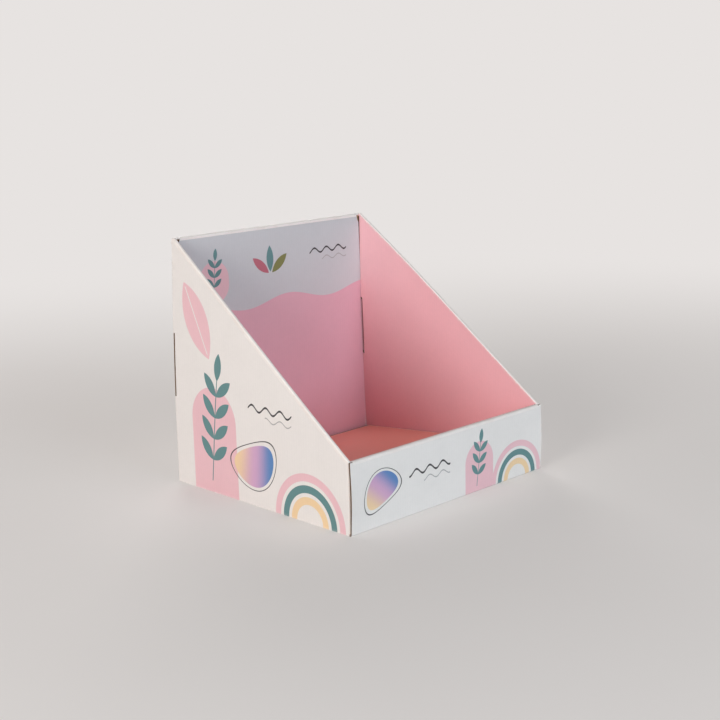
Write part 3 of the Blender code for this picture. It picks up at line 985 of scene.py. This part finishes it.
def crease_strip(name, corners, radius, half_width, finish):
    """Bent paper over one crease, from its first corner to its last, as one fixed piece."""
    line = bent_line(corners, radius, step=0.0008)
    outward = across_line(line)
    section = [p + n * FOLD_PROUD for p, n in zip(line, outward)]
    section += [p - n * STRIP for p, n in zip(line, outward)][::-1]
    shape = rolled_fold(section, spread(-half_width, half_width, step=0.012), between_walls)
    made = piece(name, shape, [finish], None, [])
    start, end = (between_walls(Vector(corners[k]), 0.0) for k in (0, -1))
    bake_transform(made)


top_middle = (LINER_FACE + BACK_FACE) / 2
lining_crease_half = LINER_HALF_WIDTH - LINER_TAPER - CORNER_CUT - LINER_FIT
crease_strip("back_crease", [(BACK_FACE, TALL - STRIP_REACH), (BACK_FACE, TALL), (top_middle, TALL)],
             BACK_ROLL, TOP_HALF_WIDTH, cream_fold)
crease_strip("lining_crease", [(top_middle, TALL), (LINER_FACE, TALL), (LINER_FACE, TALL - STRIP_REACH)],
             BACK_ROLL, lining_crease_half, cream_fold)
crease_strip("front_crease",
             [(LINING_FACE, LOW - STRIP_REACH), (LINING_FACE, LOW), (LINING_FACE - STRIP_END, LOW)],
             FRONT_ROLL, LINING_HALF_WIDTH, cream_fold)
crease_strip("floor_crease",
             [front_end + down_floor * FLOOR_STRIP_REACH, front_end,
              (LINING_FACE, front_end.y + FLOOR_STRIP_REACH)],
             FLOOR_ROLL, LINING_HALF_WIDTH, pink_floor_with_painted_shade)

# Fluting: the wavy paper between the two liners, which shows wherever the die has cut the board.
# Across the flutes it is a row of small waves, and along them one long line that wanders.
FLUTE_SWING = 0.00040
FLUTE_PAPER = 0.00020
FLUTE_DEPTH = 0.0026
FLUTE_STEP = 0.00045
FLUTE_MERGE = 0.000002
WANDER = 0.047
SAME_DIGITS = 6
fluting_paper = bare_paper("fluting paper", srgb(150, 122, 98), srgb(104, 80, 62))


def fluting_tree():
    """Node tree that makes lines along the cut edges into a wavy ribbon of paper."""
    tree = bpy.data.node_groups.new("fluting", "GeometryNodeTree")
    tree.interface.new_socket("Lines", in_out="INPUT", socket_type="NodeSocketGeometry")
    sizes = ("Start", "Swing", "Paper", "Depth", "Step")
    for name in sizes:
        tree.interface.new_socket(name, in_out="INPUT", socket_type="NodeSocketFloat")
    tree.interface.new_socket("Finish", in_out="INPUT", socket_type="NodeSocketMaterial")
    tree.interface.new_socket("Fluting", in_out="OUTPUT", socket_type="NodeSocketGeometry")
    given = tree.nodes.new("NodeGroupInput").outputs
    lines = Socket(tree, given["Lines"])
    start, swing, paper, depth, step = (Socket(tree, given[name]) for name in sizes)

    def carried(name, kind):
        return lines.node("GeometryNodeInputNamedAttribute", {"data_type": kind}, {"Name": name})

    across = carried("across", "FLOAT_VECTOR")
    curve = lines.node("GeometryNodeMeshToCurve", {}, {0: lines})
    curve = lines.node("GeometryNodeResampleCurve", {"mode": "LENGTH"}, {"Curve": curve, "Length": step})
    length = lines.node("GeometryNodeSplineParameter", {}, {}, output=1)
    height = ((length + start) * (2 * math.pi) / carried("pitch", "FLOAT")).sine() * swing
    curve = lines.node("GeometryNodeSetPosition", {}, {"Geometry": curve, "Offset": height.scaled(across)})
    thread = lines.node("GeometryNodeCurveToMesh", {}, {"Curve": curve})
    ribbon = lines.node("GeometryNodeExtrudeMesh", {"mode": "EDGES"},
                        {"Mesh": thread, "Offset": depth.scaled(carried("inward", "FLOAT_VECTOR"))})
    upper = lines.node("GeometryNodeExtrudeMesh", {"mode": "FACES"},
                       {"Mesh": ribbon, "Offset": paper.scaled(across), "Individual": False})
    lower = lines.node("GeometryNodeFlipFaces", {}, {"Mesh": ribbon})
    both = lines.node("GeometryNodeJoinGeometry", {}, {0: upper})
    tree.links.new(lower.socket, both.socket.node.inputs[0])
    both = lines.node("GeometryNodeMergeByDistance", {}, {"Geometry": both, "Distance": FLUTE_MERGE})
    both = lines.node("GeometryNodeRealizeInstances", {}, {0: both})
    finish = Socket(tree, given["Finish"])
    both = lines.node("GeometryNodeSetMaterial", {}, {"Geometry": both, "Material": finish})
    tree.links.new(both.socket, tree.nodes.new("NodeGroupOutput").inputs[0])
    return tree


fluting = fluting_tree()
for body, runs in cut_runs.items():
    points = {}
    links = []
    for ends, across, inward, lengthwise in runs:
        pitch = WANDER if lengthwise else FLUTE_PITCH
        link = []
        for end in ends:
            key = tuple(round(c, SAME_DIGITS) for c in end) + (lengthwise,)
            points.setdefault(key, (len(points), end, across, inward, pitch))
            link.append(points[key][0])
        links.append(link)
    _, places, acrosses, inwards, pitches = zip(*points.values())
    mesh = bpy.data.meshes.new("cut_lines")
    mesh.from_pydata(places, links, [])
    for name, vectors in (("across", acrosses), ("inward", inwards)):
        attribute = mesh.attributes.new(name, "FLOAT_VECTOR", "POINT")
        for item, vector in zip(attribute.data, vectors):
            item.vector = vector
    attribute = mesh.attributes.new("pitch", "FLOAT", "POINT")
    for item, pitch in zip(attribute.data, pitches):
        item.value = pitch
    lines = bpy.data.objects.new("cut_lines", mesh)
    bpy.context.scene.collection.objects.link(lines)
    modifier = lines.modifiers.new("fluting", "NODES")
    modifier.node_group = fluting
    values = {"Start": FLUTE_PITCH / 4, "Swing": FLUTE_SWING, "Paper": FLUTE_PAPER,
              "Depth": FLUTE_DEPTH, "Step": FLUTE_STEP, "Finish": fluting_paper}
    for item in fluting.interface.items_tree:
        if item.name in values:
            modifier[item.identifier] = values[item.name]
    bpy.context.view_layer.update()
    shown = lines.evaluated_get(bpy.context.evaluated_depsgraph_get())
    shape = bmesh.new()
    shape.from_mesh(bpy.data.meshes.new_from_object(shown))
    bpy.data.objects.remove(lines)
    piece(body + "_fluting", shape, [fluting_paper], body, [])

# Studio: a plain pale floor that takes the shadow, a large soft lamp on the left, a cooler one
# in front, a weak warm one above, one behind, and a camera at the photograph's angle.
EYE = Vector((-0.9465, -0.9630, 0.4244))
AZIMUTH = math.radians(-44.602)
ELEVATION = math.radians(12.651)
ROLL = math.radians(1.281)
LENS = 68.18
SENSOR = 36.0
GROUND_RADIUS = 40.0
GROUND_SIDES = 64
GROUND_ROUGH = 0.9
GROUND_GLOSS = 0.1
FLOOR_PALE = srgb(238, 234, 231)
FLOOR_PALER = srgb(243, 240, 238)
FLOOR_FADE = (0.25, 1.6)
FLOOR_GLOW = 0.35
BACKDROP = srgb(231, 227, 225)
# Name, place, width in metres, watts and colour of each lamp.
LAMPS = (
    ("key lamp", (-2.45, -0.50, 0.72), 1.3, 41.0, (1.0, 0.968, 0.94)),
    ("front lamp", (0.0, -2.50, 0.65), 1.4, 33.0, (0.79, 0.915, 1.0)),
    ("top lamp", (0.0, 0.0, 2.60), 1.6, 9.0, (1.0, 0.86, 0.80)),
    ("rear lamp", (1.5, 2.30, 0.90), 1.6, 40.0, (1.0, 0.985, 0.965)),
)
LAMP_AIM = Vector((0.0, 0.0, 0.10))
AMBIENT = 0.01


def seen_rays(tree):
    """1 for a ray that shows the backdrop itself, and 0 for one that only carries light from it."""
    paths = tree.nodes.new("ShaderNodeLightPath")
    camera, glossy, through = (
        Socket(tree, paths.outputs["Is %s Ray" % kind]) for kind in ("Camera", "Glossy", "Transmission"))
    return camera.most(glossy).most(through)


shape = bmesh.new()
bmesh.ops.create_circle(shape, cap_ends=True, segments=GROUND_SIDES, radius=GROUND_RADIUS)
mesh = bpy.data.meshes.new("floor_sheet")
shape.to_mesh(mesh)
shape.free()
ground = bpy.data.objects.new("floor_sheet", mesh)
bpy.context.scene.collection.objects.link(ground)
ground_finish, shader, place, (x, y, _) = start_finish("pale studio floor")
tree = ground_finish.node_tree
colour = place.noise(scale=3.0, detail=2.0).tint(FLOOR_PALE, FLOOR_PALER)
tree.links.new(colour.socket, shader.inputs["Base Color"])
shader.inputs["Roughness"].default_value = GROUND_ROUGH
shader.inputs["Specular IOR Level"].default_value = GROUND_GLOSS
far = ((x * x + y * y).root().rise(*FLOOR_FADE) * (1.0 - FLOOR_GLOW) + FLOOR_GLOW) * seen_rays(tree)
glow = place.node("ShaderNodeEmission", {}, {"Color": BACKDROP, "Strength": 1.0})
mixed = place.node("ShaderNodeMixShader", {}, {0: far, 1: Socket(tree, shader.outputs[0]), 2: glow})
tree.links.new(mixed.socket, tree.nodes["Material Output"].inputs["Surface"])
mesh.materials.append(ground_finish)

for name, at, size, power, colour in LAMPS:
    lamp = bpy.data.lights.new(name, "AREA")
    lamp.shape = "DISK"
    lamp.size = size
    lamp.energy = power
    lamp.color = colour
    holder = bpy.data.objects.new(name, lamp)
    holder.location = at
    holder.rotation_euler = (LAMP_AIM - Vector(at)).to_track_quat("-Z", "Y").to_euler()
    bpy.context.scene.collection.objects.link(holder)

world = bpy.data.worlds.new("studio")
bpy.context.scene.world = world
world.use_nodes = True
tree = world.node_tree
strength = seen_rays(tree) * (1.0 - AMBIENT) + AMBIENT
tree.links.new(strength.socket, tree.nodes["Background"].inputs["Strength"])
tree.nodes["Background"].inputs["Color"].default_value = BACKDROP

flat = math.cos(ELEVATION)
ahead = Vector((-math.sin(AZIMUTH) * flat, math.cos(AZIMUTH) * flat, -math.sin(ELEVATION)))
level = ahead.cross(Vector((0, 0, 1))).normalized()
right = level * math.cos(ROLL) + ahead.cross(level) * math.sin(ROLL)
down = ahead.cross(right)
camera = bpy.data.objects.new("camera", bpy.data.cameras.new("camera"))
camera.data.lens = LENS
camera.data.sensor_width = SENSOR
camera.matrix_world = Matrix((right, -down, -ahead)).transposed().to_4x4()
camera.location = EYE
bpy.context.scene.collection.objects.link(camera)
bpy.context.scene.camera = camera
bpy.context.scene.view_settings.view_transform = "Standard"
